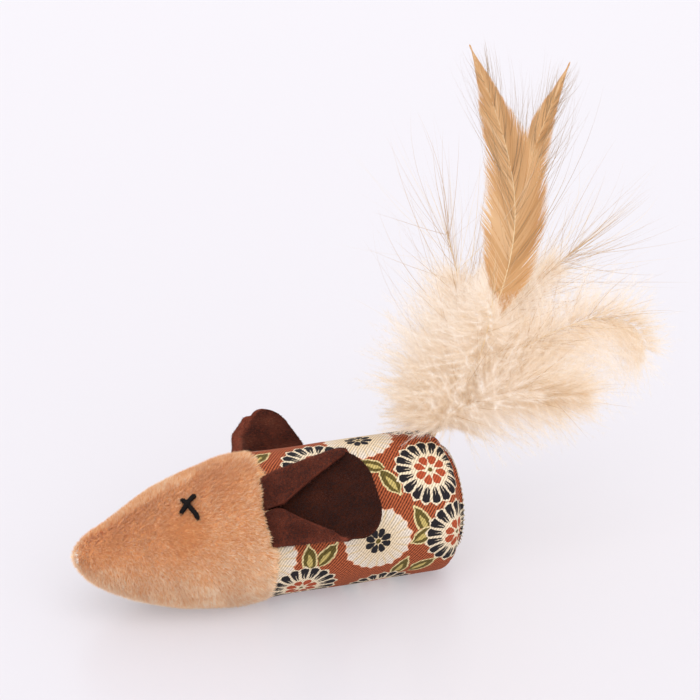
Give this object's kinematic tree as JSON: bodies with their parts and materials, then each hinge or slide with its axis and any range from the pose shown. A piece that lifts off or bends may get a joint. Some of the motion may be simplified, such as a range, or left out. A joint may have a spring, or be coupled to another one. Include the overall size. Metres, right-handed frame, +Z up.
{
  "type": "catnip mouse",
  "caption": "Stuffed cat toy mouse with a plush head, a printed canvas body, folded suede ears, stitched cross eyes and a sprung tail of feathers.",
  "frame": {"origin": "middle of the flat that the straight part of the canvas belly rests on", "axes": "+X from the nose to the tail, +Z up, -Y on the mouse's left flank"},
  "size_m": [0.1727, 0.0722, 0.15],
  "materials": {
    "plush": "short pile",
    "printed_canvas": "plain weave with a floral print",
    "suede": "napped",
    "black_thread": "twisted thread",
    "cream_thread": "twisted thread",
    "filling": "loose fibre",
    "muslin": "open weave",
    "catnip": "dried leaf",
    "glue": "set drop",
    "tan_feather": "vane with a pale shaft",
    "cream_down": "loose barbs"
  },
  "bodies": {
    "mouse": {"head_cover": "plush", "body_tube": "printed_canvas", "rump_disc": "printed_canvas", "neck_thread": "cream_thread", "rump_thread": "cream_thread", "head_stuffing": "filling", "body_stuffing": "filling", "catnip_pouch": "muslin", "pouch_tie": "cream_thread", "dried_catnip": "catnip", "eye_left": "black_thread", "eye_right": "black_thread"},
    "left_ear": {"ear_left": "suede"},
    "right_ear": {"ear_right": "suede"},
    "tail_root": {"quill_glue": "glue"},
    "tail": {"quill_binding": "cream_thread", "plume_low": "cream_down", "plume_left": "cream_down", "plume_droop": "cream_down", "feather_front": "tan_feather", "plume_up_left": "cream_down", "feather_back": "tan_feather", "plume_up_right": "cream_down", "plume_back": "cream_down"}
  },
  "joints": [
    {"name": "ear_left_flap", "type": "hinge", "parent": "mouse", "child": "left_ear", "pos_m": [-0.02245, -0.01635, 0.03218], "axis": [0, -0.6157, -0.788], "range_deg": [-8, 70], "stiffness_Nm_per_rad": 0.002},
    {"name": "ear_right_flap", "type": "hinge", "parent": "mouse", "child": "right_ear", "pos_m": [-0.02245, 0.0203, 0.02371], "axis": [0, -0.2079, 0.9781], "range_deg": [-30, 45], "stiffness_Nm_per_rad": 0.002},
    {"name": "tail_nod", "type": "hinge", "parent": "mouse", "child": "tail_root", "pos_m": [0.02745, 0.00427, 0.03789], "axis": [0, 1, 0], "range_deg": [-15, 20], "stiffness_Nm_per_rad": 0.04},
    {"name": "tail_sway", "type": "hinge", "parent": "tail_root", "child": "tail", "pos_m": [0.02745, 0.00427, 0.03789], "axis": [1, 0, 0], "range_deg": [-20, 20], "stiffness_Nm_per_rad": 0.04}
  ]
}
